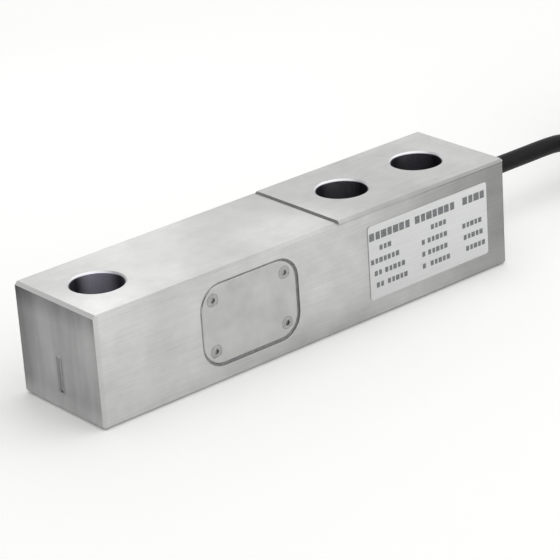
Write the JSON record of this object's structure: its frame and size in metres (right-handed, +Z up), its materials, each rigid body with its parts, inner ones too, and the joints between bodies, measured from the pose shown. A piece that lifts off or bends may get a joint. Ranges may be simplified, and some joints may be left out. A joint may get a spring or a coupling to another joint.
{
  "type": "single ended shear beam load cell",
  "caption": "Single ended shear beam load cell: a nickel plated steel bar with bolt holes, sealed gauge pockets, a cable gland and a free cable wound in a hank.",
  "frame": {"origin": "on the underside of the bar, in the middle of its length and width", "axes": "+X along the bar from the load end to the cable end, +Y across it away from the rating plate, +Z up through the bolt holes"},
  "size_m": [0.3277, 0.046, 0.0369],
  "materials": {
    "nickel_plated_steel": "satin nickel plating over alloy steel",
    "nickel_plated_brass": "nickel plated, satin",
    "screw_steel": "plain satin",
    "black_rubber": "matt",
    "gauge_foil": "polyimide carrier with a foil grid",
    "glass_epoxy": "satin",
    "enamelled_wire": "enamelled copper",
    "rating_plate_foil": "printed satin foil",
    "cable_jacket": "satin PVC",
    "tie_nylon": "satin",
    "shrink_sleeve": "satin",
    "lead_red": "smooth insulation",
    "lead_green": "smooth insulation",
    "lead_white": "smooth insulation",
    "lead_black": "smooth insulation",
    "lead_shield": "tinned copper"
  },
  "bodies": {
    "root": {"spring_element": "nickel_plated_steel", "front_cover": "nickel_plated_steel", "rear_cover": "nickel_plated_steel", "gland_body": "nickel_plated_brass", "gland_nut": "nickel_plated_brass", "cover_screw_front_1": "screw_steel", "cover_screw_front_2": "screw_steel", "cover_screw_front_3": "screw_steel", "cover_screw_front_4": "screw_steel", "cover_screw_rear_1": "screw_steel", "cover_screw_rear_2": "screw_steel", "cover_screw_rear_3": "screw_steel", "cover_screw_rear_4": "screw_steel", "front_gasket": "black_rubber", "rear_gasket": "black_rubber", "gland_seal": "black_rubber", "strain_relief_boot": "black_rubber", "strain_gauge_front_1": "gauge_foil", "strain_gauge_front_2": "gauge_foil", "strain_gauge_rear_1": "gauge_foil", "strain_gauge_rear_2": "gauge_foil", "terminal_strip_front": "glass_epoxy", "terminal_strip_rear": "glass_epoxy", "bridge_wire_1": "enamelled_wire", "bridge_wire_2": "enamelled_wire", "rating_plate": "rating_plate_foil", "cable_core": "cable_jacket", "cable": "cable_jacket", "cable_hank": "cable_jacket", "cable_tail": "cable_jacket", "cable_tie_1": "tie_nylon", "cable_tie_2": "tie_nylon", "cable_sleeve": "shrink_sleeve", "signal_lead_red": "lead_red", "flying_lead_red": "lead_red", "signal_lead_green": "lead_green", "flying_lead_green": "lead_green", "signal_lead_white": "lead_white", "flying_lead_white": "lead_white", "signal_lead_black": "lead_black", "flying_lead_black": "lead_black", "shield_drain": "lead_shield"}
  },
  "joints": []
}
